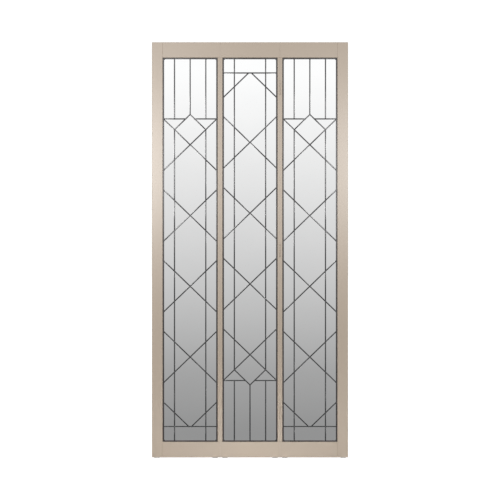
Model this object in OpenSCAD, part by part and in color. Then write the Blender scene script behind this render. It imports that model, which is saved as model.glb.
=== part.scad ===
// Three-leaf folding screen with leaded mirror lights in slim metal frames.
// X runs across the screen, the front faces -Y, Z is up from the floor.

/* [Overall] */
// Width of the screen standing flat
screen_w = 864; // [720:2:1040]
// Height from the floor to the top of the frame
screen_h = 1830; // [1520:5:2200]
// Depth of each leaf, front face to back face
leaf_t = 25; // [22:0.5:30]
// Hairline gap between neighbouring leaves
joint_gap = 0.3; // [0.2:0.1:1]

/* [Frame] */
// Face width of the two outer stiles
stile_w = 47; // [38:1:60]
// Face width of each narrow inner stile
inner_w = 10.4; // [9:0.1:14]
// Face height of the top and bottom rails
rail_h = 68; // [56:1:82]
// Wall of the hollow sections
wall = 1.8; // [1.5:0.1:2.2]
// How far the front lip reaches over the light
lip = 4; // [3:0.25:5]
// Thickness of the front lip
lip_t = 4; // [3:0.25:5]
// Chamfer on the lip's front edge
lip_chamfer = 1; // [0.5:0.1:1.4]
// Rounding of the outer long edges
edge_r = 1.5; // [0.5:0.1:2]
// Thickness of the outer stiles' end caps
cap_t = 2; // [1.5:0.5:3]
// Depth of an end cap's plug
plug_h = 10; // [6:1:16]

/* [Leaded light] */
// Radius of a solder joint's foot
solder_r = 3.2; // [2.8:0.1:4.5]
// Height of a solder joint above the cames
solder_h = 0.5; // [0.3:0.1:0.8]
// Clearance round the leaded light in its rebate
light_gap = 0.5; // [0.3:0.1:0.8]
// Face width of the border came
border_w = 10.25; // [8.5:0.25:11]
// Face width of the other cames
came_w = 5.4; // [4:0.1:6]
// Thickness of a came's two flanges
flange_t = 1.2; // [0.8:0.1:1.5]
// Thickness of the heart between the flanges
heart_t = 1.6; // [1.2:0.1:2]
// Thickness of the mirror panes
glass_t = 3; // [2:0.5:4]
// Gap between a pane and the heart
pane_gap = 0.3; // [0.1:0.1:0.5]
// From the opening's edge to the side cames
margin_w = 52.4; // [44:0.2:62]
// From the opening's end to the fan's base
fan_h = 269.5; // [226:0.5:323]
// From the opening's end to the end bar
band_h = 67; // [56:1:80]
// Number of diagonal crosses
cross_count = 4; // [3:1:4]
// Distance between the last arms where they meet the end bar
end_gap = 12; // [8:0.5:16]
// How far the panes reach into the border came
border_bite = 2.5; // [1.5:0.25:3]
// Angle of the diagonals above level
lattice_angle = 44; // [42:0.5:45]

/* [Backing] */
// Thickness of the backing board
board_t = 3; // [2:0.5:4]
// Face width of the glazing stops
stop_w = 8; // [6:0.5:10]
// Depth of the glazing stops
stop_t = 8; // [7:0.5:8.5]

/* [Joining] */
// Length of a joining block
block_len = 30; // [24:1:36]
// Gap left at a butted end inside one group
butt_gap = 0.1; // [0.05:0.05:0.2]
// Clearance of a block in its rail
block_gap = 0.2; // [0.1:0.05:0.3]
// Radius of the frame screws' shanks
screw_r = 1.75; // [1.5:0.05:2]
// Radius of the small screws' shanks
small_r = 1.25; // [1:0.05:1.4]
// Clearance round a screw in the piece it passes through
screw_gap = 0.15; // [0.1:0.05:0.2]

/* [Hinges] */
// Length of a hinge
hinge_h = 60; // [50:1:72]
// Distance from a leaf's end to the nearest hinge's middle
hinge_inset = 200; // [150:5:260]
// Thickness of a hinge plate
plate_t = 1.2; // [1:0.1:1.4]
// Depth of a hinge plate into the leaf
plate_d = 16; // [14:0.5:18]
// Radius of the hinge barrel
barrel_r = 2.5; // [2.3:0.1:3]
// Radius of the hinge pin
pin_r = 1.25; // [1:0.05:1.4]
// Running clearance of the pin
pin_gap = 0.05; // [0.02:0.01:0.08]
// Distance of the pin's axis from the leaf's face
pin_out = 1.2; // [1:0.1:1.4]
// Gap between knuckles, and round a barrel in its groove
knuckle_gap = 0.3; // [0.2:0.05:0.4]

/* [Glides] */
// Width of a glide's pad, along the leaf
glide_w = 24; // [20:1:28]
// Depth of a glide's pad, through the leaf
glide_d = 22; // [20:0.5:22]
// Height of a glide under the frame
glide_h = 2; // [1.5:0.5:4]
// Radius of a glide's stem
stem_r = 3; // [2.5:0.5:4]

/* [Hidden] */
$fn = 48;
eps = 0.01;

frame_h = screen_h - glide_h;
light_w = (screen_w - 2 * stile_w - 4 * inner_w - 2 * joint_gap) / 3;
light_h = frame_h - 2 * rail_h;
leaf_pitch = light_w + 2 * inner_w + joint_gap;
joint_x = leaf_pitch / 2;
edge_x = light_w / 2;
bar_w = inner_w - lip;
front_y = -leaf_t / 2;
back_y = leaf_t / 2;
light_z = glide_h + rail_h;

// The layers of a light, from the lip backwards
came_y = front_y + lip_t;
glass_y = came_y + flange_t;
rear_flange_y = glass_y + glass_t;
board_y = rear_flange_y + flange_t;
stop_y = board_y + board_t;

// The leaded light's outline, and the lines of its pattern
panel_x = edge_x + lip - light_gap;
near_edge = light_gap - lip;
border_show = border_w + near_edge;
border_x = edge_x - border_show;
reach_x = border_x + border_bite;
run_x = reach_x + came_w;
meet_x = edge_x - border_show / 2;
side_x = edge_x - margin_w;
slope = tan(lattice_angle);
first_cross = fan_h + slope * meet_x;
bar_level = light_h - band_h;
last_cross = bar_level + slope * end_gap / 2;
cross_pitch = (last_cross - first_cross) / cross_count;
corner_level = first_cross - slope * side_x;
apex_level = first_cross - 2 * slope * side_x;
fan_x = (fan_h - apex_level) / slope;

inner_screw_len = 22;
outer_screw_len = block_len + wall + screw_r;
back_screw_len = 10;
stop_screw_len = stop_w + 4;
plate_screw_len = 5.5;
end_screw_step = rail_h / 4;
plate_screw_step = hinge_h / 3;
plate_screw_depth = 0.6 * plate_d;
stop_screw_places = [-0.45, -0.16, 0.16, 0.45];
knuckles = 5;
knuckle_pitch = hinge_h / knuckles;
pin_y = back_y + pin_out;
pin_head_t = 1;
pad_cut = 1.5;
groove_h = hinge_h + 2 * (pin_head_t + knuckle_gap);
pin_head_r = barrel_r - 0.4;
block_mid_x = edge_x + lip - block_len / 2;
block_mid = (lip + rail_h) / 2;
stile_glide_x = edge_x + (lip + stile_w) / 2;
hinge_levels = [
    glide_h + hinge_inset,
    glide_h + frame_h / 2,
    glide_h + frame_h - hinge_inset
];

frame_finish = [0.79, 0.74, 0.69];
lead_finish = [0.33, 0.32, 0.32];
solder_finish = [0.5, 0.5, 0.5];
mirror_finish = [0.82, 0.84, 0.86];
board_finish = [0.35, 0.27, 0.2];
steel_finish = [0.62, 0.62, 0.6];
nylon_finish = [0.2, 0.2, 0.21];

// ---- Placing ----

// Draws a leaf whose light is centred on X = 0 and whose joint is on -X
module on_leaf(side) {
    translate([side * leaf_pitch, 0, 0])
        mirror([side < 0 ? 1 : 0, 0, 0])
            children();
}

// Draws at a joint, with the side leaf on +X and the pins on +Y
module at_joint(side) {
    translate([side * joint_x, 0, 0])
        mirror([side < 0 ? 1 : 0, 0, 0])
            mirror([0, side > 0 ? 1 : 0, 0])
                children();
}

// Draws both ends of what is the same at +X and -X
module both_sides() {
    children();
    mirror([1, 0, 0])
        children();
}

// Z = 0 on the opening's edge, +Z away from the opening
module at_rail(top) {
    translate([0, 0, top ? light_z + light_h : light_z])
        mirror([0, 0, top ? 0 : 1])
            children();
}

// An upright outline, X and Z on the page, given a depth behind start_y
module slab(start_y, depth) {
    translate([0, start_y + depth, 0])
        rotate([90, 0, 0])
            linear_extrude(depth)
                children();
}

// ---- Screws ----

// A countersunk screw, head face at the origin, shank down -Z
module screw_form(r, len, gap) {
    translate([0, 0, -r])
        cylinder(h = r, r1 = r + gap, r2 = 2 * r + gap);
    translate([0, 0, -len])
        cylinder(h = len, r = r + gap);
}

module screw(r, len) {
    difference() {
        screw_form(r, len, 0);
        translate([0, 0, -r])
            cylinder(h = 2 * r, r = r, $fn = 6);
    }
}

// ---- Frame sections ----

// Outline of a stile or rail: X from the opening's edge outwards, Y through the leaf
module outline(w) {
    difference() {
        union() {
            translate([0, front_y])
                square([w - edge_r, leaf_t]);
            translate([0, front_y + edge_r])
                square([w, leaf_t - 2 * edge_r]);
            for (y = [front_y + edge_r, back_y - edge_r])
                translate([w - edge_r, y])
                    circle(r = edge_r);
        }
        translate([0, came_y])
            square([lip, leaf_t]);
    }
}

module lip_cut() {
    polygon([[0, front_y], [lip_chamfer, front_y], [0, front_y + lip_chamfer]]);
}

module cavity(w, gap) {
    translate([lip + wall + gap, front_y + wall + gap])
        square([w - lip - 2 * (wall + gap), leaf_t - 2 * (wall + gap)]);
}

module section(w) {
    difference() {
        outline(w);
        lip_cut();
        cavity(w, 0);
    }
}

// ---- Stiles ----

module outer_stile() {
    color(frame_finish)
        difference() {
            translate([edge_x, 0, glide_h + cap_t])
                linear_extrude(frame_h - 2 * cap_t)
                    section(stile_w);
            for (top = [true, false])
                at_rail(top)
                    outer_end_screws(0);
            stop_screw_forms(0);
        }
}

// The narrow stile beside a joint, drawn with the joint on +X
module inner_stile(pins_front) {
    difference() {
        union() {
            translate([edge_x + lip, front_y, glide_h])
                cube([bar_w, leaf_t, frame_h]);
            translate([edge_x, 0, light_z])
                linear_extrude(light_h)
                    difference() {
                        translate([0, front_y])
                            square([lip + eps, lip_t]);
                        lip_cut();
                    }
        }
        for (top = [true, false])
            at_rail(top) {
                translate([edge_x + lip - eps, front_y - eps, 0])
                    cube([bar_w + 2 * eps, wall + eps, rail_h + eps]);
                inner_end_screws(screw_gap);
            }
        stop_screw_forms(0);
        hinge_seat(pins_front);
    }
}

// Mortises and barrel grooves of the three hinges
module hinge_seat(pins_front) {
    translate([edge_x + inner_w + joint_gap / 2, 0, 0])
        mirror([1, 0, 0])
            mirror([0, pins_front ? 1 : 0, 0])
                for (z = hinge_levels)
                    translate([0, 0, z]) {
                        translate([0, back_y - plate_d, -hinge_h / 2])
                            cube([joint_gap / 2 + plate_t, plate_d + eps, hinge_h]);
                        translate([0, pin_y, -groove_h / 2])
                            cylinder(h = groove_h, r = barrel_r + knuckle_gap);
                        plate_screw_forms(0);
                    }
}

// ---- Rails ----

module rail(top, has_outer_stile) {
    start_x = -edge_x - inner_w;
    end_x = has_outer_stile ? edge_x + lip : edge_x + inner_w;
    color(frame_finish)
        at_rail(top)
            difference() {
                translate([end_x, 0, 0])
                    rotate([0, -90, 0])
                        linear_extrude(end_x - start_x)
                            section(rail_h);
                mirror([1, 0, 0])
                    inner_end_cut();
                if (has_outer_stile)
                    outer_lip_cut(0);
                else
                    inner_end_cut();
                both_sides()
                    back_screw(screw_gap);
                rail_stop_screw(0);
                if (!top)
                    glide_stems(has_outer_stile);
            }
}

// Room for the outer stile's lip in front of the rail's end
module outer_lip_cut(gap) {
    translate([edge_x - gap, front_y - eps, -eps])
        cube([lip + gap + eps, lip_t + gap + eps, rail_h + 2 * eps]);
}

// Room for the inner stile's bar behind the rail's face
module inner_end_cut() {
    translate([edge_x + lip, front_y + wall, -eps])
        cube([bar_w + eps, leaf_t, rail_h + 2 * eps]);
}

// ---- Joining blocks and their screws, in a rail's own frame ----

module joining_block(top, at_outer_stile) {
    difference() {
        translate([edge_x + lip, 0, 0])
            rotate([0, -90, 0])
                linear_extrude(block_len)
                    cavity(rail_h, block_gap);
        back_screw(0);
        if (at_outer_stile) {
            outer_lip_cut(block_gap);
            outer_end_screws(screw_gap);
        } else {
            inner_end_screws(0);
            if (!top)
                glide_stem(block_mid_x);
        }
    }
}

module at_end_screws(x) {
    for (step = [-1, 1])
        translate([x, 0, block_mid + step * end_screw_step])
            children();
}

// From the joint's face through the inner stile into the block
module inner_end_screws(gap) {
    at_end_screws(edge_x + inner_w)
        rotate([0, 90, 0])
            screw_form(screw_r, inner_screw_len, gap);
}

// From the block's inner end through it into the outer stile's wall
module outer_end_screws(gap) {
    at_end_screws(edge_x + lip - block_len)
        rotate([0, -90, 0])
            screw_form(screw_r, outer_screw_len, gap);
}

// From the rail's back face into the block
module at_back_screw() {
    translate([block_mid_x, back_y, block_mid])
        rotate([-90, 0, 0])
            children();
}

module back_screw(gap) {
    at_back_screw()
        screw_form(screw_r, back_screw_len, gap);
}

// One leaf's blocks: the side leaf has an outer stile on its +X end
module leaf_blocks(has_outer_stile) {
    color(steel_finish)
        for (top = [true, false])
            at_rail(top) {
                joining_block(top, has_outer_stile);
                mirror([1, 0, 0])
                    joining_block(top, false);
            }
}

module end_screws(x, turn, len) {
    at_end_screws(x)
        rotate([0, turn, 0])
            screw(screw_r, len);
}

module leaf_block_screws(has_outer_stile) {
    color(steel_finish)
        for (top = [true, false])
            at_rail(top) {
                if (has_outer_stile)
                    end_screws(edge_x + lip - block_len, -90, outer_screw_len);
                else
                    end_screws(edge_x + inner_w, 90, inner_screw_len);
                mirror([1, 0, 0])
                    end_screws(edge_x + inner_w, 90, inner_screw_len);
                both_sides()
                    at_back_screw()
                        screw(screw_r, back_screw_len);
            }
}

// ---- End caps of an outer stile ----

module stile_caps() {
    color(nylon_finish)
        for (top = [true, false])
            difference() {
                translate([edge_x, 0, 0])
                    stile_cap(top);
                if (!top)
                    glide_stem_up(stile_glide_x);
            }
}

module stile_cap(top) {
    translate([0, 0, top ? screen_h - cap_t : glide_h])
        linear_extrude(cap_t)
            difference() {
                outline(stile_w);
                lip_cut();
            }
    translate([0, 0, top ? screen_h - cap_t - plug_h : glide_h + cap_t])
        linear_extrude(plug_h)
            cavity(stile_w, block_gap);
}

// ---- Glides ----

module glide_stem_up(x) {
    translate([x, 0, glide_h])
        cylinder(h = plug_h, r = stem_r);
}

// The same stem in the bottom rail's own frame
module glide_stem(x) {
    translate([x, 0, rail_h - plug_h])
        cylinder(h = plug_h, r = stem_r);
}

module glide_stems(has_outer_stile) {
    glide_stem(-block_mid_x);
    if (!has_outer_stile)
        glide_stem(block_mid_x);
}

// A glide's pad, its upright corners cut off
module pad() {
    linear_extrude(glide_h)
        intersection() {
            square([glide_w, glide_d], center = true);
            rotate(45)
                square((glide_w + glide_d - 2 * pad_cut) / sqrt(2), center = true);
        }
}

module glide(x) {
    translate([x, 0, 0])
        pad();
    glide_stem_up(x);
}

module leaf_glides(has_outer_stile) {
    color(nylon_finish) {
        glide(-block_mid_x);
        glide(has_outer_stile ? stile_glide_x : block_mid_x);
    }
}

// ---- The leaded light: lines in X and distance from the fan end ----

function cross_level(k) = first_cross + k * cross_pitch;

// A straight band of width w from a to b
module strip(a, b, w) {
    run = b - a;
    translate(a)
        rotate(atan2(run[1], run[0]))
            translate([0, -w / 2])
                square([norm(run), w]);
}

// The long diagonals that rise towards +X, or towards -X when way is -1
module diagonals(w, way) {
    for (k = [0 : cross_count - 1])
        strip(
            [-way * run_x, cross_level(k) - slope * run_x],
            [way * run_x, cross_level(k) + slope * run_x],
            w
        );
}

// The two arms that run into the end bar
module end_arms(w) {
    for (way = [-1, 1])
        strip(
            [way * run_x, last_cross - slope * run_x],
            [way * end_gap / 2, bar_level],
            w
        );
}

// The diamond's two upper edges, mitred where they meet
module diamond_edges(w, gap) {
    for (way = [-1, 1])
        intersection() {
            strip(
                [-way * came_w, apex_level - slope * came_w],
                [way * side_x, corner_level],
                w
            );
            translate([way < 0 ? -light_w - gap : gap, 0])
                square([light_w, light_h]);
        }
}

module fan_base(w) {
    for (way = [-1, 1])
        strip([way * fan_x, fan_h], [way * run_x, fan_h], w);
}

module end_bar(w) {
    strip([-run_x, bar_level], [run_x, bar_level], w);
}

module uprights(w) {
    strip([0, near_edge], [0, apex_level], w);
    for (x = [-side_x, side_x]) {
        strip([x, near_edge], [x, fan_h], w);
        strip([x, corner_level], [x, light_h - near_edge], w);
    }
}

module lattice(w) {
    diagonals(w, 1);
    diagonals(w, -1);
    diamond_edges(w, 0);
    end_arms(w);
}

// Each group as cut pieces of width w: the lattice runs through, the level cames stop
// at it, and the upright cames stop at both. One diagonal of each cross stops at the other.
module lattice_pieces(w) {
    within = came_w + 2 * butt_gap;
    diagonals(w, 1);
    difference() {
        diagonals(w, -1);
        diagonals(within, 1);
    }
    difference() {
        diamond_edges(w, butt_gap);
        diagonals(within, 1);
        diagonals(within, -1);
    }
    difference() {
        end_arms(w);
        end_bar(came_w);
    }
}

module cross_pieces(w) {
    difference() {
        fan_base(w);
        lattice(came_w);
    }
    end_bar(w);
}

module upright_pieces(w) {
    difference() {
        uprights(w);
        lattice(came_w);
        fan_base(came_w);
        end_bar(came_w);
    }
}

module came_group(group, w) {
    if (group == "lattice")
        lattice_pieces(w);
    if (group == "cross")
        cross_pieces(w);
    if (group == "upright")
        upright_pieces(w);
}

// The field inside the border, grown by how far the panes reach into it
module field(grow) {
    translate([-border_x - grow, border_show - grow])
        square([2 * (border_x + grow), light_h - 2 * (border_show - grow)]);
}

// Puts the pattern on the page upright, fan at the top or at the bottom
module hang(fan_top) {
    translate([0, light_z + (fan_top ? light_h : 0)])
        mirror([0, fan_top ? 1 : 0])
            children();
}

module cames(group, fan_top) {
    color(lead_finish) {
        for (y = [came_y, rear_flange_y])
            slab(y, flange_t)
                hang(fan_top)
                    intersection() {
                        came_group(group, came_w);
                        field(0);
                    }
        slab(glass_y, glass_t)
            hang(fan_top)
                intersection() {
                    came_group(group, heart_t);
                    field(0);
                }
    }
}

module border_cames(fan_top) {
    color(lead_finish)
        difference() {
            for (band = [0 : 1])
                slab(came_y, board_y - came_y)
                    hang(fan_top)
                        border_bands(band);
            slab(glass_y, glass_t)
                hang(fan_top)
                    field(border_bite + pane_gap);
        }
}

// Where cames meet: each point is listed once for +X and drawn on both sides
function solder_points() = concat(
    [for (k = [0 : cross_count - 1]) [0, cross_level(k)]],
    [for (k = [0 : cross_count - 1], x = [side_x, border_x], way = [-1, 1])
        [x, cross_level(k) + way * slope * x]],
    [for (x = [side_x, border_x]) [x, last_cross - slope * x]],
    [for (x = [end_gap / 2, side_x, border_x]) [x, bar_level]],
    [for (x = [fan_x, side_x]) [x, fan_h]],
    [[0, apex_level]],
    [for (x = [0, side_x, border_x]) [x, border_show]],
    [for (x = [side_x, border_x]) [x, light_h - border_show]]
);

module solder_joints(fan_top) {
    color(solder_finish)
        for (p = solder_points(), way = p[0] > 0 ? [-1, 1] : [1])
            translate([
                way * p[0],
                came_y,
                light_z + (fan_top ? light_h - p[1] : p[1])
            ])
                rotate([90, 0, 0])
                    cylinder(h = solder_h, r1 = solder_r, r2 = solder_r - solder_h);
}

// Band 0 is the two upright strips, band 1 the two level strips between them
module border_bands(band) {
    if (band == 0)
        for (x = [-panel_x, border_x])
            translate([x, near_edge])
                square([border_w, light_h - 2 * near_edge]);
    else
        for (v = [near_edge, light_h - near_edge - border_w])
            translate([-border_x + butt_gap, v])
                square([2 * (border_x - butt_gap), border_w]);
}

// Every pane is what the cames' hearts leave of the field
module mirror_panes(fan_top) {
    cut_w = heart_t + 2 * pane_gap;
    color(mirror_finish)
        slab(glass_y, glass_t)
            hang(fan_top)
                difference() {
                    field(border_bite);
                    lattice(cut_w);
                    uprights(cut_w);
                    fan_base(cut_w);
                    end_bar(cut_w);
                }
}

// ---- Backing board, stops and their screws ----

module backing_board() {
    color(board_finish)
        slab(board_y, board_t)
            translate([-panel_x, light_z + near_edge])
                square([2 * panel_x, light_h - 2 * near_edge]);
}

module glazing_stops() {
    stop_x = edge_x + lip - stop_w;
    color(frame_finish)
        difference() {
            union() {
                for (x = [-edge_x - lip, stop_x])
                    translate([x, stop_y, light_z - lip])
                        cube([stop_w, stop_t, light_h + 2 * lip]);
                for (z = [light_z - lip, light_z + light_h + lip - stop_w])
                    translate([-stop_x + butt_gap, stop_y, z])
                        cube([2 * (stop_x - butt_gap), stop_t, stop_w]);
            }
            both_sides()
                stop_screw_forms(screw_gap);
            for (top = [true, false])
                at_rail(top)
                    rail_stop_screw(screw_gap);
        }
}

// Screws of an upright stop, into the stile on +X
module at_stop_screws() {
    for (place = stop_screw_places)
        translate([
            edge_x + lip - stop_w,
            stop_y + stop_t / 2,
            light_z + light_h / 2 + place * light_h
        ])
            rotate([0, -90, 0])
                children();
}

module stop_screw_forms(gap) {
    at_stop_screws()
        screw_form(small_r, stop_screw_len, gap);
}

// Screw of a level stop, in a rail's own frame
module at_rail_stop_screw() {
    translate([0, stop_y + stop_t / 2, lip - stop_w])
        rotate([180, 0, 0])
            children();
}

module rail_stop_screw(gap) {
    at_rail_stop_screw()
        screw_form(small_r, stop_screw_len, gap);
}

module stop_screws() {
    color(steel_finish) {
        both_sides()
            at_stop_screws()
                screw(small_r, stop_screw_len);
        for (top = [true, false])
            at_rail(top)
                at_rail_stop_screw()
                    screw(small_r, stop_screw_len);
    }
}

// ---- Hinges, drawn with the side leaf on +X and the pins on +Y ----

module at_hinges(side) {
    at_joint(side)
        for (z = hinge_levels)
            translate([0, 0, z])
                children();
}

module at_plate_screws() {
    for (step = [-1, 0, 1])
        translate([joint_gap / 2, back_y - plate_screw_depth, step * plate_screw_step])
            rotate([0, -90, 0])
                children();
}

module plate_screw_forms(gap) {
    at_plate_screws()
        screw_form(small_r, plate_screw_len, gap);
}

module knuckle(i, grow, extra) {
    translate([0, pin_y, -hinge_h / 2 + i * knuckle_pitch + knuckle_gap / 2 - extra])
        cylinder(h = knuckle_pitch - knuckle_gap + 2 * extra, r = barrel_r + grow);
}

// The plate on +X with its knuckles: the even ones when even is true
module hinge_plate(even, pin_room) {
    own = even ? 0 : 1;
    difference() {
        union() {
            translate([joint_gap / 2, back_y - plate_d, -hinge_h / 2])
                cube([plate_t, plate_d + pin_out, hinge_h]);
            for (i = [own : 2 : knuckles - 1])
                knuckle(i, 0, 0);
        }
        for (i = [1 - own : 2 : knuckles - 1])
            knuckle(i, knuckle_gap, knuckle_gap);
        translate([0, pin_y, -hinge_h])
            cylinder(h = 2 * hinge_h, r = pin_r + pin_room);
        plate_screw_forms(screw_gap);
    }
}

module hinge_outer_plates(side) {
    color(frame_finish)
        at_hinges(side)
            hinge_plate(false, pin_gap);
}

module hinge_inner_plates(side) {
    color(frame_finish)
        at_hinges(side)
            mirror([1, 0, 0])
                hinge_plate(true, 0);
}

module hinge_pins(side) {
    color(steel_finish)
        at_hinges(side)
            translate([0, pin_y, 0]) {
                translate([0, 0, -hinge_h / 2])
                    cylinder(h = hinge_h, r = pin_r);
                translate([0, 0, (hinge_h - knuckle_gap) / 2])
                    cylinder(h = pin_head_t, r = pin_head_r);
            }
}

module hinge_screws(side, outer) {
    color(steel_finish)
        at_hinges(side)
            mirror([outer ? 0 : 1, 0, 0])
                at_plate_screws()
                    screw(small_r, plate_screw_len);
}

// ---- Stiles of the centre leaf and the side leaves ----

// The inner stile of a side leaf stands on the leaf's -X side
module leaf_inner_stile(pins_front) {
    color(frame_finish)
        mirror([1, 0, 0])
            inner_stile(pins_front);
}

module centre_stile(side) {
    color(frame_finish)
        mirror([side < 0 ? 1 : 0, 0, 0])
            inner_stile(side > 0);
}

on_leaf(-1) outer_stile();  // left_outer_stile
on_leaf(-1) leaf_inner_stile(false);  // left_inner_stile
on_leaf(-1) rail(true, true);  // left_top_rail
on_leaf(-1) rail(false, true);  // left_bottom_rail
on_leaf(-1) stile_caps();  // left_stile_caps
on_leaf(-1) leaf_blocks(true);  // left_joining_blocks
on_leaf(-1) leaf_block_screws(true);  // left_block_screws
on_leaf(-1) border_cames(true);  // left_border_cames
on_leaf(-1) cames("upright", true);  // left_upright_cames
on_leaf(-1) cames("lattice", true);  // left_lattice_cames
on_leaf(-1) cames("cross", true);  // left_cross_cames
on_leaf(-1) solder_joints(true);  // left_solder_joints
on_leaf(-1) mirror_panes(true);  // left_mirror_panes
on_leaf(-1) backing_board();  // left_backing_board
on_leaf(-1) glazing_stops();  // left_glazing_stops
on_leaf(-1) stop_screws();  // left_stop_screws
on_leaf(-1) leaf_glides(true);  // left_glides
on_leaf(1) outer_stile();  // right_outer_stile
on_leaf(1) leaf_inner_stile(true);  // right_inner_stile
on_leaf(1) rail(true, true);  // right_top_rail
on_leaf(1) rail(false, true);  // right_bottom_rail
on_leaf(1) stile_caps();  // right_stile_caps
on_leaf(1) leaf_blocks(true);  // right_joining_blocks
on_leaf(1) leaf_block_screws(true);  // right_block_screws
on_leaf(1) border_cames(true);  // right_border_cames
on_leaf(1) cames("upright", true);  // right_upright_cames
on_leaf(1) cames("lattice", true);  // right_lattice_cames
on_leaf(1) cames("cross", true);  // right_cross_cames
on_leaf(1) solder_joints(true);  // right_solder_joints
on_leaf(1) mirror_panes(true);  // right_mirror_panes
on_leaf(1) backing_board();  // right_backing_board
on_leaf(1) glazing_stops();  // right_glazing_stops
on_leaf(1) stop_screws();  // right_stop_screws
on_leaf(1) leaf_glides(true);  // right_glides
on_leaf(0) centre_stile(-1);  // centre_left_stile
on_leaf(0) centre_stile(1);  // centre_right_stile
on_leaf(0) rail(true, false);  // centre_top_rail
on_leaf(0) rail(false, false);  // centre_bottom_rail
on_leaf(0) leaf_blocks(false);  // centre_joining_blocks
on_leaf(0) leaf_block_screws(false);  // centre_block_screws
on_leaf(0) border_cames(false);  // centre_border_cames
on_leaf(0) cames("upright", false);  // centre_upright_cames
on_leaf(0) cames("lattice", false);  // centre_lattice_cames
on_leaf(0) cames("cross", false);  // centre_cross_cames
on_leaf(0) solder_joints(false);  // centre_solder_joints
on_leaf(0) mirror_panes(false);  // centre_mirror_panes
on_leaf(0) backing_board();  // centre_backing_board
on_leaf(0) glazing_stops();  // centre_glazing_stops
on_leaf(0) stop_screws();  // centre_stop_screws
on_leaf(0) leaf_glides(false);  // centre_glides
hinge_outer_plates(-1);  // left_hinge_outer_plates
hinge_inner_plates(-1);  // left_hinge_inner_plates
hinge_pins(-1);  // left_hinge_pins
hinge_screws(-1, true);  // left_hinge_outer_screws
hinge_screws(-1, false);  // left_hinge_inner_screws
hinge_outer_plates(1);  // right_hinge_outer_plates
hinge_inner_plates(1);  // right_hinge_inner_plates
hinge_pins(1);  // right_hinge_pins
hinge_screws(1, true);  // right_hinge_outer_screws
hinge_screws(1, false);  // right_hinge_inner_screws
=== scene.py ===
# A three-leaf folding screen with leaded mirror lights, in a plain studio.
import math
import random

import bmesh
import bpy
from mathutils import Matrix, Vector


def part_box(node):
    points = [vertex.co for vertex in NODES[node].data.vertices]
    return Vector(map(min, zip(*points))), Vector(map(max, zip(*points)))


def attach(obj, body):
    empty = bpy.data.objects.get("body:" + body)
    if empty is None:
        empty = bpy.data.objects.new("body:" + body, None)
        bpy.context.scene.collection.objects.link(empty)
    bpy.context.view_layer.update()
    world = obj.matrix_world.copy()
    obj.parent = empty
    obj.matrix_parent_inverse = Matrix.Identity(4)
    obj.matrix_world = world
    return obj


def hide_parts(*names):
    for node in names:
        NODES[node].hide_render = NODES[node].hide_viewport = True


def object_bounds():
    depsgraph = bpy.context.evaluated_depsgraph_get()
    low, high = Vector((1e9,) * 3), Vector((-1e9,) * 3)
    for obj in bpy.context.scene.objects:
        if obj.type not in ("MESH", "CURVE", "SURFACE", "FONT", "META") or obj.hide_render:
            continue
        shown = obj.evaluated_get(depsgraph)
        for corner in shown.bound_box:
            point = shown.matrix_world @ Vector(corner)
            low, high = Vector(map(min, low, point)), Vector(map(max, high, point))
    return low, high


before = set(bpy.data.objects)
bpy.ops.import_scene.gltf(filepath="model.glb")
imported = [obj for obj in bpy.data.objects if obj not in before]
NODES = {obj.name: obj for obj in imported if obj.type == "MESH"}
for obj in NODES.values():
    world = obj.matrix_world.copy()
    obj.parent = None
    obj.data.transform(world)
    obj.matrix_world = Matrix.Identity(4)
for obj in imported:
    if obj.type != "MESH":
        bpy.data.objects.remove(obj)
cad_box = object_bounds()
LEAVES = ("left", "centre", "right")
MM = 0.001

# ---------------------------------------------------------------- sizes

low, high = (Vector(corner) for corner in cad_box)
MIDDLE_Z = (low.z + high.z) / 2
FRONT_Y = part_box("centre_top_rail")[0][1]

# Profiles as rings: how far in from the edge, how far below the highest point
CAME_CROWN = ((0.0, 0.67 * MM), (0.35 * MM, 0.5 * MM), (0.8 * MM, 0.32 * MM),
              (1.35 * MM, 0.16 * MM), (2.0 * MM, 0.04 * MM), (2.5 * MM, 0.0))
BORDER_CROWN = ((0.0, 0.9 * MM), (0.3 * MM, 0.55 * MM), (1.1 * MM, 0.25 * MM),
                (2.2 * MM, 0.06 * MM), (3.6 * MM, 0.0))
PANE_EDGE = ((0.0, 0.1 * MM), (2.4 * MM, 0.0))

# Solder domes: their depth, their reach past the CAD's joint, and how they are divided
SOLDER_FOOT = 1.25 * MM
SOLDER_SPREAD = 0.6 * MM
SOLDER_STEEPNESS = 3
SOLDER_UNEVENNESS = (0.9, 1.08)
SOLDER_RINGS = 5
SOLDER_CORNERS = 20

# Edges of the CAD nodes that stay
SEAM = 0.01 * MM
FINE_EDGE = 0.12 * MM
BROKEN_EDGE = 0.25 * MM
EDGE_SEGMENTS = 2
EDGE_ANGLE = 40

# How closely points, planes, depths and directions have to agree to count as the same
SAME_POINT = 0.005 * MM
SAME_PLANE_ANGLE = 0.5
SAME_DEPTH = 0.02 * MM
FACING_FRONT = -0.99
PARALLEL = 1e-6
SHORTEST_EDGE = 0.02 * MM

# Degrees up to which neighbouring faces are shaded as one; 0 leaves every face flat
CAME_SMOOTHING = 50
SOLDER_SMOOTHING = 60
FLAT = 0

# The camera: metres to the screen's middle and to the farthest thing seen, its sensor's
# width in mm, and the picture's height as a share of the screen's
CAMERA_DISTANCE = 6.0
CAMERA_REACH = 100
SENSOR = 36.0
VIEW_HEIGHT_PER_OBJECT = 1.2028


# ---------------------------------------------------------------- material helpers

# The range that noise mostly lies in, and the stretch that leaves it the same every way
NOISE_LOW = 0.3
NOISE_HIGH = 0.7
EVEN = (1, 1, 1)


def new_material(name):
    """A principled material; returns it, its node tree and its shader."""
    material = bpy.data.materials.new(name)
    material.use_nodes = True
    tree = material.node_tree
    return material, tree, tree.nodes["Principled BSDF"]


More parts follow.
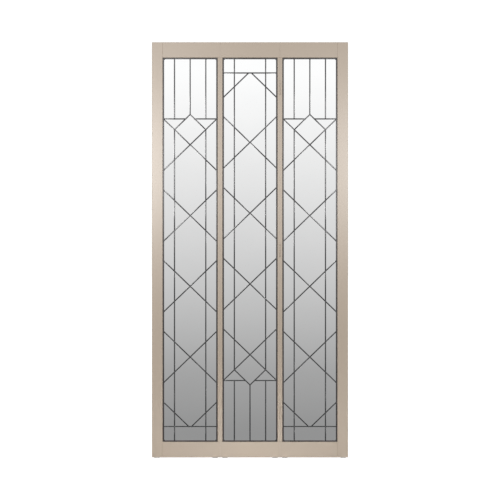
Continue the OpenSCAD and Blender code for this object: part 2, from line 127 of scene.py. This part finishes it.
def stretched_noise(tree, stretch, scale, detail=4.0):
    """Noise in the object's own metres, stretched by a scale along each axis."""
    coordinates = tree.nodes.new("ShaderNodeTexCoord")
    mapping = tree.nodes.new("ShaderNodeMapping")
    mapping.inputs["Scale"].default_value = stretch
    noise = tree.nodes.new("ShaderNodeTexNoise")
    noise.inputs["Scale"].default_value = scale
    noise.inputs["Detail"].default_value = detail
    tree.links.new(coordinates.outputs["Object"], mapping.inputs["Vector"])
    tree.links.new(mapping.outputs["Vector"], noise.inputs["Vector"])
    return noise.outputs["Fac"]


def ramp(tree, fac, stops):
    """A colour ramp of (position, colour) stops; new ones start halfway and then move."""
    node = tree.nodes.new("ShaderNodeValToRGB")
    elements = node.color_ramp.elements
    while len(elements) < len(stops):
        elements.new(0.5)
    for element, (position, color) in zip(elements, stops):
        element.position = position
        element.color = (*color, 1)
    tree.links.new(fac, node.inputs["Fac"])
    return node.outputs["Color"]


def two_tone(tree, noise, first, second):
    """A colour that follows noise from one tone to another."""
    return ramp(tree, noise, ((NOISE_LOW, first), (NOISE_HIGH, second)))


def spread(tree, fac, low_value, high_value):
    """Maps noise to a range of values."""
    node = tree.nodes.new("ShaderNodeMapRange")
    node.inputs["From Min"].default_value = NOISE_LOW
    node.inputs["From Max"].default_value = NOISE_HIGH
    node.inputs["To Min"].default_value = low_value
    node.inputs["To Max"].default_value = high_value
    tree.links.new(fac, node.inputs["Value"])
    return node.outputs["Result"]


def blend(tree, a, b, share):
    """Mixes two noises, with this share of the second."""
    node = tree.nodes.new("ShaderNodeMix")
    node.inputs["Factor"].default_value = share
    tree.links.new(a, node.inputs["A"])
    tree.links.new(b, node.inputs["B"])
    return node.outputs["Result"]


def bump(tree, height, shader, depth, strength):
    """Raises the surface by up to depth metres where height is 1."""
    node = tree.nodes.new("ShaderNodeBump")
    node.inputs["Strength"].default_value = strength
    node.inputs["Distance"].default_value = depth
    tree.links.new(height, node.inputs["Height"])
    tree.links.new(node.outputs["Normal"], shader.inputs["Normal"])


def shade(color, factor):
    """A colour made darker or lighter."""
    return tuple(channel * factor for channel in color)


def grey(level):
    """A colour with no hue."""
    return (level, level, level)


# ---------------------------------------------------------------- materials

CHAMPAGNE = (0.368, 0.287, 0.208)


def lacquered(name, grain):
    """Champagne lacquer on aluminium: a satin coat over a fine grain along the section."""
    material, tree, shader = new_material(name)
    along = stretched_noise(tree, grain, 1.0, 3.0)
    cloud = stretched_noise(tree, EVEN, 3.0, 2.0)
    uneven = blend(tree, along, cloud, 0.4)
    color = two_tone(tree, uneven, shade(CHAMPAGNE, 0.96), shade(CHAMPAGNE, 1.04))
    tree.links.new(color, shader.inputs["Base Color"])
    shader.inputs["Metallic"].default_value = 0.0
    shader.inputs["Coat Weight"].default_value = 1.0
    shader.inputs["Coat IOR"].default_value = 2.0
    shader.inputs["Coat Roughness"].default_value = 0.44
    tree.links.new(spread(tree, along, 0.46, 0.54), shader.inputs["Roughness"])
    bump(tree, along, shader, 0.03 * MM, 0.35)
    return material


def patinated(name, tone, roughness):
    """Black-patinated lead: a thin dark skin that is uneven in tone and shine."""
    material, tree, shader = new_material(name)
    blotch = stretched_noise(tree, EVEN, 60.0, 5.0)
    color = two_tone(tree, blotch, shade(tone, 0.7), shade(tone, 1.4))
    tree.links.new(color, shader.inputs["Base Color"])
    shader.inputs["Specular IOR Level"].default_value = 1.0
    tree.links.new(
        spread(tree, blotch, roughness - 0.04, roughness + 0.06), shader.inputs["Roughness"])
    bump(tree, stretched_noise(tree, EVEN, 350.0, 3.0), shader, 0.05 * MM, 0.3)
    return material


def mirror_glass():
    """Silvered glass, very slightly uneven."""
    material, tree, shader = new_material("mirror_glass")
    haze = stretched_noise(tree, EVEN, 9.0, 3.0)
    color = two_tone(tree, haze, (0.935, 0.94, 0.942), (0.95, 0.952, 0.952))
    tree.links.new(color, shader.inputs["Base Color"])
    shader.inputs["Metallic"].default_value = 1.0
    tree.links.new(spread(tree, haze, 0.012, 0.03), shader.inputs["Roughness"])
    bump(tree, stretched_noise(tree, (1, 1, 0.4), 14.0, 1.0), shader, 0.02 * MM, 0.3)
    return material


def hardboard():
    """Brown hardboard with short pressed fibres."""
    material, tree, shader = new_material("hardboard")
    fibre = stretched_noise(tree, (1, 1, 2.5), 220.0, 6.0)
    color = two_tone(tree, fibre, (0.115, 0.066, 0.035), (0.235, 0.150, 0.088))
    tree.links.new(color, shader.inputs["Base Color"])
    shader.inputs["Roughness"].default_value = 0.72
    bump(tree, fibre, shader, 0.15 * MM, 0.5)
    return material


def plated(name, tone):
    """Plated or mill metal with fine turning marks."""
    material, tree, shader = new_material(name)
    grain = stretched_noise(tree, EVEN, 500.0, 4.0)
    color = two_tone(tree, grain, shade(tone, 0.88), tone)
    tree.links.new(color, shader.inputs["Base Color"])
    shader.inputs["Metallic"].default_value = 1.0
    tree.links.new(spread(tree, grain, 0.26, 0.38), shader.inputs["Roughness"])
    bump(tree, grain, shader, 0.02 * MM, 0.4)
    return material


def moulded(name, tone):
    """Moulded nylon with a fine spark-eroded texture."""
    material, tree, shader = new_material(name)
    grain = stretched_noise(tree, EVEN, 900.0, 2.0)
    color = two_tone(tree, grain, shade(tone, 0.92), tone)
    tree.links.new(color, shader.inputs["Base Color"])
    tree.links.new(spread(tree, grain, 0.46, 0.56), shader.inputs["Roughness"])
    bump(tree, grain, shader, 0.03 * MM, 0.5)
    return material


# How often the grain changes in a metre along X, Y and Z
GRAIN_UP = (900, 900, 2.5)
GRAIN_ACROSS = (2.5, 900, 900)

MATERIALS = {
    "stile": lacquered("lacquered_upright", GRAIN_UP),
    "rail": lacquered("lacquered_level", GRAIN_ACROSS),
    "came": patinated("lead_came", (0.012, 0.0125, 0.0135), 0.2),
    "border": patinated("lead_border", (0.020, 0.014, 0.013), 0.3),
    "solder": patinated("solder", (0.018, 0.018, 0.019), 0.22),
    "mirror": mirror_glass(),
    "board": hardboard(),
    "steel": plated("zinc_plate", (0.62, 0.62, 0.60)),
    "block": plated("mill_aluminium", (0.80, 0.80, 0.79)),
    "cap": moulded("cap_nylon", (0.50, 0.44, 0.38)),
    "glide": moulded("glide_nylon", (0.035, 0.035, 0.036)),
}

# A word in a CAD node's name, and the material that it gets: the first match counts
FINISHES = (
    ("border_cames", "border"), ("cames", "came"), ("solder", "solder"),
    ("mirror_panes", "mirror"), ("backing_board", "board"), ("stile_caps", "cap"),
    ("glides", "glide"), ("joining_blocks", "block"), ("screws", "steel"),
    ("pins", "steel"), ("rail", "rail"), ("stops", "stile"), ("hinge", "stile"),
    ("stile", "stile"),
)

# Words in the names of nodes that get pieces in their place, and of those with fine edges
REPLACED = ("cames", "solder", "mirror_panes")
SMALL = ("screws", "hinge")


def finish_cad_nodes():
    """Gives every CAD node its material, and breaks the edges of those that stay."""
    for name, node in NODES.items():
        key = next(key for word, key in FINISHES if word in name)
        node.data.materials.clear()
        node.data.materials.append(MATERIALS[key])
        if any(word in name for word in REPLACED):
            continue
        weld = node.modifiers.new("weld", "WELD")
        weld.merge_threshold = SEAM
        edges = node.modifiers.new("broken_edges", "BEVEL")
        edges.width = FINE_EDGE if any(word in name for word in SMALL) else BROKEN_EDGE
        edges.segments = EDGE_SEGMENTS
        edges.limit_method = "ANGLE"
        edges.angle_limit = math.radians(EDGE_ANGLE)
        edges.harden_normals = True


# ---------------------------------------------------------------- leaded lights

def front_copy(node_name):
    """A CAD node's mesh with whole faces, and its front faces."""
    mesh = bmesh.new()
    mesh.from_mesh(NODES[node_name].data)
    bmesh.ops.remove_doubles(mesh, verts=mesh.verts, dist=SAME_POINT)
    bmesh.ops.dissolve_limit(
        mesh, angle_limit=math.radians(SAME_PLANE_ANGLE), verts=mesh.verts, edges=mesh.edges)
    mesh.normal_update()
    front = min(vertex.co.y for vertex in mesh.verts)
    faces = [
        face for face in mesh.faces
        if face.normal.y < FACING_FRONT and face.verts[0].co.y < front + SAME_DEPTH]
    return mesh, faces


def meeting(a, b):
    """Where two lines in X and Z cross; a line is (normal x, normal z, offset)."""
    det = a[0] * b[1] - a[1] * b[0]
    if abs(det) < PARALLEL:
        return None
    return (a[2] * b[1] - b[2] * a[1]) / det, (a[0] * b[2] - b[0] * a[2]) / det


def left_turning(face):
    """The face's corners in the order that keeps the face on the left in X and Z."""
    verts = list(face.verts)
    ends = verts[1:] + verts[:1]
    area = sum(a.co.x * b.co.z - b.co.x * a.co.z for a, b in zip(verts, ends))
    return verts if area > 0 else verts[::-1]


def edge_lines(verts):
    """The lines along a left-turning outline's edges, their normals pointing inwards."""
    lines = []
    for start, end in zip(verts, verts[1:] + verts[:1]):
        run = (end.co - start.co).normalized()
        normal_x, normal_z = -run.z, run.x
        lines.append((normal_x, normal_z, normal_x * start.co.x + normal_z * start.co.z))
    return lines


def edge_length(line, start, end):
    """How far an edge runs forwards; less than nothing once it has turned over."""
    return (end[0] - start[0]) * line[1] - (end[1] - start[1]) * line[0]


def inset_corners(lines, inset):
    """The edges that survive an inset of a convex outline, and each one's first corner."""
    moved = [(x, z, offset + inset) for x, z, offset in lines]
    active = list(range(len(lines)))
    while len(active) > 2:
        corners = {
            edge: meeting(moved[active[place - 1]], moved[edge])
            for place, edge in enumerate(active)}
        if None in corners.values():
            return None
        following = dict(zip(active, active[1:] + active[:1]))
        lengths = {
            edge: edge_length(lines[edge], corners[edge], corners[following[edge]])
            for edge in active}
        shortest = min(lengths, key=lengths.get)
        if lengths[shortest] > SHORTEST_EDGE:
            return active, corners
        active.remove(shortest)
    return None


def next_kept(edge, kept, count):
    """The first surviving edge after this one, going round."""
    step = (edge + 1) % count
    while step not in kept:
        step = (step + 1) % count
    return step


def profile_face(mesh, face, rings):
    """Puts rings that rise from the edge in place of a flat convex face."""
    verts = left_turning(face)
    lines = edge_lines(verts)
    crown_y = verts[0].co.y
    count = len(verts)
    active = list(range(count))
    outer = dict(enumerate(verts))
    mesh.faces.remove(face)
    for inset, drop in rings[1:]:
        ring = inset_corners(lines, inset)
        if ring is None:
            break
        kept, corners = ring
        inner = {
            edge: mesh.verts.new((x, crown_y + drop, z)) for edge, (x, z) in corners.items()}
        for edge, after in zip(active, active[1:] + active[:1]):
            corner = [outer[edge], outer[after], inner[next_kept(edge, kept, count)]]
            if edge in inner:
                corner.append(inner[edge])
            mesh.faces.new(corner)
        outer, active = inner, kept
    mesh.faces.new([outer[edge] for edge in active])


def profile_front(mesh, faces, rings):
    """Gives every front face the profile, and sets its outer edge back."""
    edge_verts = {vertex for face in faces for vertex in face.verts}
    for face in faces:
        profile_face(mesh, face, rings)
    for vertex in edge_verts:
        vertex.co.y += rings[0][1]


def add_piece(mesh, node_name, ending, key, smooth_angle):
    """Makes the mesh a piece that stands for a CAD node and rides with its leaf."""
    name = f"{node_name}_{ending}"
    bmesh.ops.recalc_face_normals(mesh, faces=mesh.faces)
    data = bpy.data.meshes.new(name)
    mesh.to_mesh(data)
    mesh.free()
    data.materials.append(MATERIALS[key])
    piece = bpy.data.objects.new(name, data)
    bpy.context.scene.collection.objects.link(piece)
    if smooth_angle:
        data.polygons.foreach_set("use_smooth", [True] * len(data.polygons))
        data.set_sharp_from_angle(angle=math.radians(smooth_angle))
    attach(piece, node_name.split("_")[0] + "_leaf")
    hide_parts(node_name)


def crowned_cames(leaf, kind, key, rings):
    """Cames with a rounded face in place of the CAD's flat flanges."""
    node_name = f"{leaf}_{kind}"
    mesh, faces = front_copy(node_name)
    profile_front(mesh, faces, rings)
    add_piece(mesh, node_name, "crowned", key, CAME_SMOOTHING)


def bevelled_panes(leaf):
    """Mirror panes with their front edges ground back a little."""
    node_name = f"{leaf}_mirror_panes"
    mesh, faces = front_copy(node_name)
    profile_front(mesh, faces, PANE_EDGE)
    add_piece(mesh, node_name, "bevelled", "mirror", FLAT)


def solder_dome(mesh, top, radius, depth, dice):
    """A low dome with an uneven edge, its highest point at top."""
    reach = [radius * dice.uniform(*SOLDER_UNEVENNESS) for _ in range(SOLDER_CORNERS)]
    peak = mesh.verts.new(top)
    inner = None
    for ring in range(1, SOLDER_RINGS + 1):
        out = ring / SOLDER_RINGS
        verts = [
            mesh.verts.new((
                top.x + out * reach[corner] * math.cos(math.tau * corner / SOLDER_CORNERS),
                top.y + depth * out ** SOLDER_STEEPNESS,
                top.z + out * reach[corner] * math.sin(math.tau * corner / SOLDER_CORNERS),
            ))
            for corner in range(SOLDER_CORNERS)]
        for corner in range(SOLDER_CORNERS):
            after = (corner + 1) % SOLDER_CORNERS
            if inner:
                mesh.faces.new((inner[corner], inner[after], verts[after], verts[corner]))
            else:
                mesh.faces.new((peak, verts[after], verts[corner]))
        inner = verts
    mesh.faces.new(inner)


def flowed_solder(leaf):
    """Solder that has flowed over each meeting of cames and down their sides."""
    node_name = f"{leaf}_solder_joints"
    cad_mesh, faces = front_copy(node_name)
    dice = random.Random(leaf)
    mesh = bmesh.new()
    for face in faces:
        middle = face.calc_center_median()
        radius = max((vertex.co - middle).length for vertex in face.verts)
        solder_dome(mesh, middle, radius + SOLDER_SPREAD, SOLDER_FOOT, dice)
    cad_mesh.free()
    add_piece(mesh, node_name, "flowed", "solder", SOLDER_SMOOTHING)


def fill_leaves():
    """Puts the finished cames, panes and solder in place of the CAD's in every leaf."""
    for leaf in LEAVES:
        crowned_cames(leaf, "border_cames", "border", BORDER_CROWN)
        for kind in ("upright_cames", "lattice_cames", "cross_cames"):
            crowned_cames(leaf, kind, "came", CAME_CROWN)
        bevelled_panes(leaf)
        flowed_solder(leaf)


# ---------------------------------------------------------------- studio

FLOOR_REACH = 40
# The floor's own light and the backdrop's tone, each enough for the camera to see white
FLOOR_GLOW = 0.6
BACKDROP = 1.1

# How bright the studio is by the direction's height, from straight down to straight up
SKY = (
    (-1.0, 0.34), (-0.25, 0.29), (-0.132, 0.309), (-0.088, 0.398), (-0.044, 0.545), (0.0, 0.683),
    (0.044, 0.813), (0.088, 0.940), (0.13, 1.05), (0.2, 1.0), (0.4, 0.82), (1.0, 0.8),
)

# Name, place, aim, width and height, watts, whether gloss shows it
SOFTBOXES = (
    ("side_left", (-0.64, -1.2, 1.36), (-0.4, 0, 1.3), (0.2, 0.52), 6.6, True),
    ("side_right", (0.64, -1.2, 1.36), (0.4, 0, 1.3), (0.2, 0.52), 5.2, True),
    ("upper_left", (-0.5, -1.2, 2.15), (-0.3, 0, 1.8), (0.4, 0.2), 0.9, True),
    ("low_left", (-0.82, -1.2, 0.1), (-0.4, 0, 0.2), (0.2, 0.18), 0.8, True),
    ("low_right", (0.82, -1.2, 0.1), (0.4, 0, 0.2), (0.2, 0.18), 1.0, True),
    ("low_fill", (0, -0.35, 0.06), (0, 0, 0), (0.8, 0.08), 1.2, False),
)


def add_camera():
    """Square on to the screen's front, level with its middle."""
    data = bpy.data.cameras.new("camera")
    view_height = (high.z - low.z) * VIEW_HEIGHT_PER_OBJECT
    data.sensor_width = SENSOR
    data.lens = SENSOR * (CAMERA_DISTANCE + FRONT_Y) / view_height
    data.clip_end = CAMERA_REACH
    camera = bpy.data.objects.new("camera", data)
    camera.location = (0, -CAMERA_DISTANCE, MIDDLE_Z)
    camera.rotation_euler = (math.radians(90), 0, 0)
    bpy.context.scene.collection.objects.link(camera)
    bpy.context.scene.camera = camera


def add_floor():
    """A plain white floor that casts no light on the screen."""
    material, tree, shader = new_material("studio_floor")
    cloud = stretched_noise(tree, EVEN, 1.5, 2.0)
    color = two_tone(tree, cloud, grey(0.92), grey(0.94))
    tree.links.new(color, shader.inputs["Base Color"])
    shader.inputs["Roughness"].default_value = 0.9
    shader.inputs["Specular IOR Level"].default_value = 0.1
    shader.inputs["Emission Color"].default_value = (1, 1, 1, 1)
    shader.inputs["Emission Strength"].default_value = FLOOR_GLOW
    data = bpy.data.meshes.new("studio_floor")
    sides = ((-1, -1), (1, -1), (1, 1), (-1, 1))
    corners = [(x * FLOOR_REACH, y * FLOOR_REACH, 0) for x, y in sides]
    data.from_pydata(corners, [], [range(len(corners))])
    data.materials.append(material)
    floor = bpy.data.objects.new("studio_floor", data)
    floor.visible_glossy = False
    floor.visible_diffuse = False
    bpy.context.scene.collection.objects.link(floor)


def mirrors_left_out():
    """A light-linking collection that keeps a lamp's own picture out of the mirrors."""
    mirrors = bpy.data.collections.new("mirrors_left_out")
    for leaf in LEAVES:
        mirrors.objects.link(bpy.data.objects[f"{leaf}_mirror_panes_bevelled"])
    for member in mirrors.collection_objects:
        member.light_linking.link_state = "EXCLUDE"
    return mirrors


def add_softbox(mirrors, name, place, aim, size, watts, in_gloss):
    """A rectangular area light that the camera and the mirrors don't see."""
    data = bpy.data.lights.new(name, "AREA")
    data.shape = "RECTANGLE"
    data.size, data.size_y = size
    data.energy = watts
    light = bpy.data.objects.new(name, data)
    light.location = place
    light.rotation_euler = (Vector(aim) - Vector(place)).to_track_quat("-Z", "Y").to_euler()
    light.visible_camera = False
    light.visible_glossy = in_gloss
    light.light_linking.receiver_collection = mirrors
    bpy.context.scene.collection.objects.link(light)


def add_surroundings():
    """A studio that falls from white overhead to grey low down, and shows white itself."""
    world = bpy.data.worlds.new("studio")
    bpy.context.scene.world = world
    world.use_nodes = True
    tree = world.node_tree
    background = tree.nodes["Background"]
    coordinates = tree.nodes.new("ShaderNodeTexCoord")
    axes = tree.nodes.new("ShaderNodeSeparateXYZ")
    tree.links.new(coordinates.outputs["Generated"], axes.inputs["Vector"])
    height = tree.nodes.new("ShaderNodeMapRange")
    height.inputs["From Min"].default_value = -1
    tree.links.new(axes.outputs["Z"], height.inputs["Value"])
    tones = ramp(tree, height.outputs["Result"], [
        ((level + 1) / 2, grey(tone)) for level, tone in SKY])
    path = tree.nodes.new("ShaderNodeLightPath")
    mix = tree.nodes.new("ShaderNodeMix")
    mix.data_type = "RGBA"
    tree.links.new(path.outputs["Is Camera Ray"], mix.inputs["Factor"])
    tree.links.new(tones, mix.inputs["A"])
    mix.inputs["B"].default_value = (*grey(BACKDROP), 1)
    tree.links.new(mix.outputs["Result"], background.inputs["Color"])


finish_cad_nodes()
fill_leaves()
add_camera()
add_floor()
add_surroundings()
unlit_mirrors = mirrors_left_out()
for softbox in SOFTBOXES:
    add_softbox(unlit_mirrors, *softbox)
bpy.context.scene.view_settings.view_transform = "Standard"
